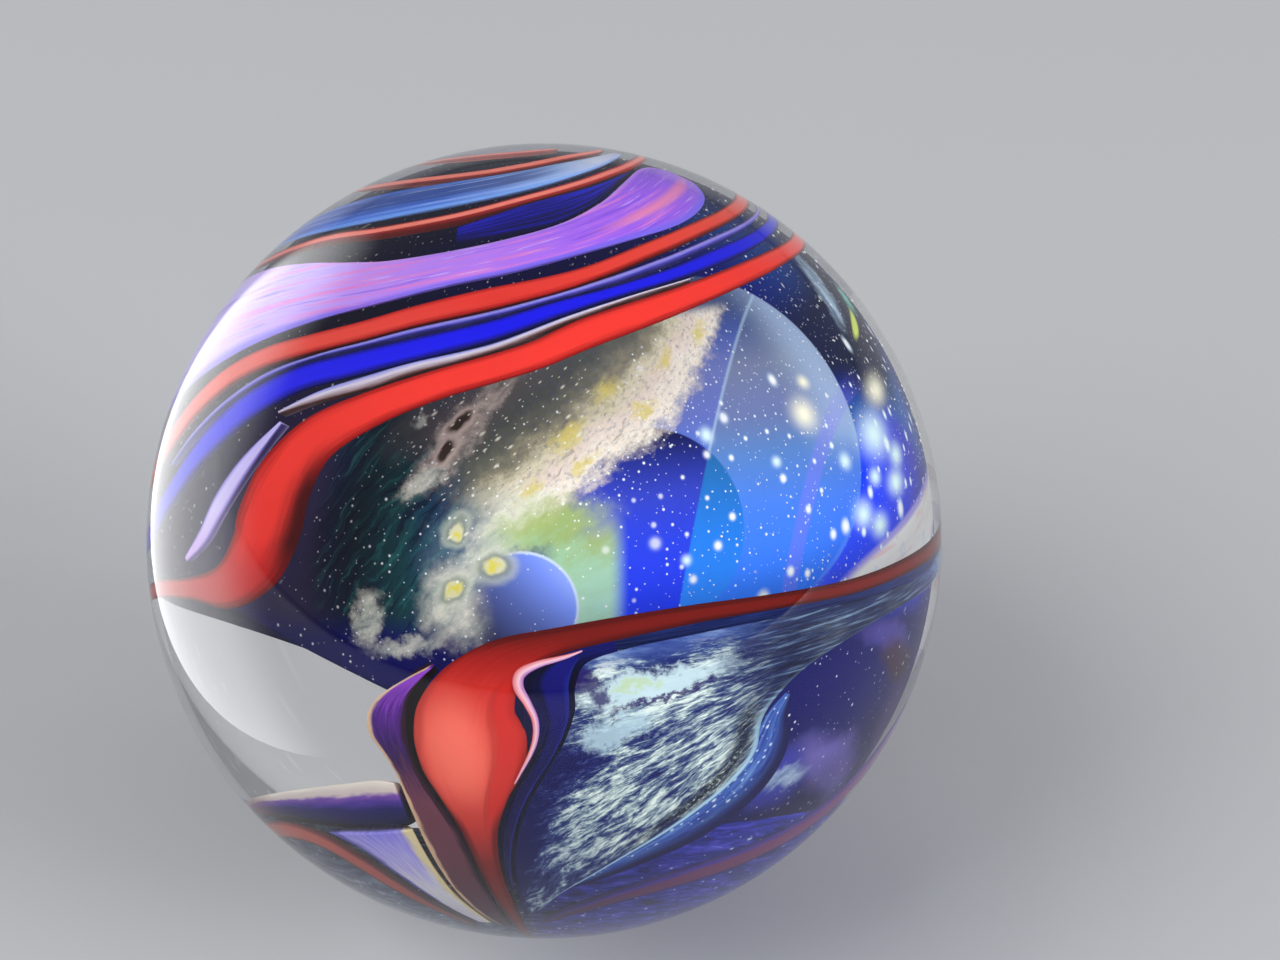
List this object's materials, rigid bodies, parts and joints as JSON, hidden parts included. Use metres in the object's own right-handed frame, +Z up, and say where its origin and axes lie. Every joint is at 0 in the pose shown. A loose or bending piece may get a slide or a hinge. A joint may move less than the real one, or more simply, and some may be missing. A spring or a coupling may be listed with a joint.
{
  "type": "glass marble",
  "caption": "Polished clear glass ball with coloured glass ribbons twisted around a dark starry core, to roll, collect or show on a stand.",
  "frame": {"origin": "centre of the ball", "axes": "+Z up as the ball lies, -Y toward the front, +X to its right; the twist axis leans back from +Z toward +Y"},
  "size_m": [0.038, 0.038, 0.038],
  "materials": {
    "clear_glass": "polished",
    "galaxy_glass": "fused under clear glass, with pale specks",
    "hook_red_glass": "fused under clear glass",
    "cobalt_glass": "fused under clear glass",
    "upper_red_glass": "fused under clear glass",
    "violet_glass": "fused under clear glass, with pink streaks",
    "lower_red_glass": "fused under clear glass, darker where it is thin",
    "streaked_glass": "fused under clear glass, streaked white on navy",
    "navy_edge_glass": "fused under clear glass",
    "lilac_line_glass": "fused under clear glass",
    "white_line_glass": "fused under clear glass",
    "leaf_lilac_glass": "fused under clear glass",
    "crown_blue_glass": "fused under clear glass",
    "crown_navy_glass": "fused under clear glass",
    "plum_edge_glass": "fused under clear glass",
    "foot_red_glass": "fused under clear glass",
    "foot_lilac_glass": "fused under clear glass",
    "foot_navy_glass": "fused under clear glass",
    "plum_glass": "fused under clear glass",
    "foot_pad_glass": "fused under clear glass, streaked slate on navy"
  },
  "bodies": {
    "root": {"clear_casing": "clear_glass", "galaxy_core": "galaxy_glass", "hook_ribbon": "hook_red_glass", "cobalt_ribbon": "cobalt_glass", "upper_red_ribbon": "upper_red_glass", "violet_ribbon": "violet_glass", "lower_red_ribbon": "lower_red_glass", "streaked_ribbon": "streaked_glass", "navy_edge": "navy_edge_glass", "lilac_line": "lilac_line_glass", "white_line": "white_line_glass", "lilac_leaf": "leaf_lilac_glass", "crown_blue_ribbon": "crown_blue_glass", "crown_navy_ribbon": "crown_navy_glass", "plum_edge": "plum_edge_glass", "foot_red_ribbon": "foot_red_glass", "foot_lilac_leaf": "foot_lilac_glass", "foot_navy_ribbon": "foot_navy_glass", "plum_ribbon": "plum_glass", "foot_pad": "foot_pad_glass"}
  },
  "joints": []
}
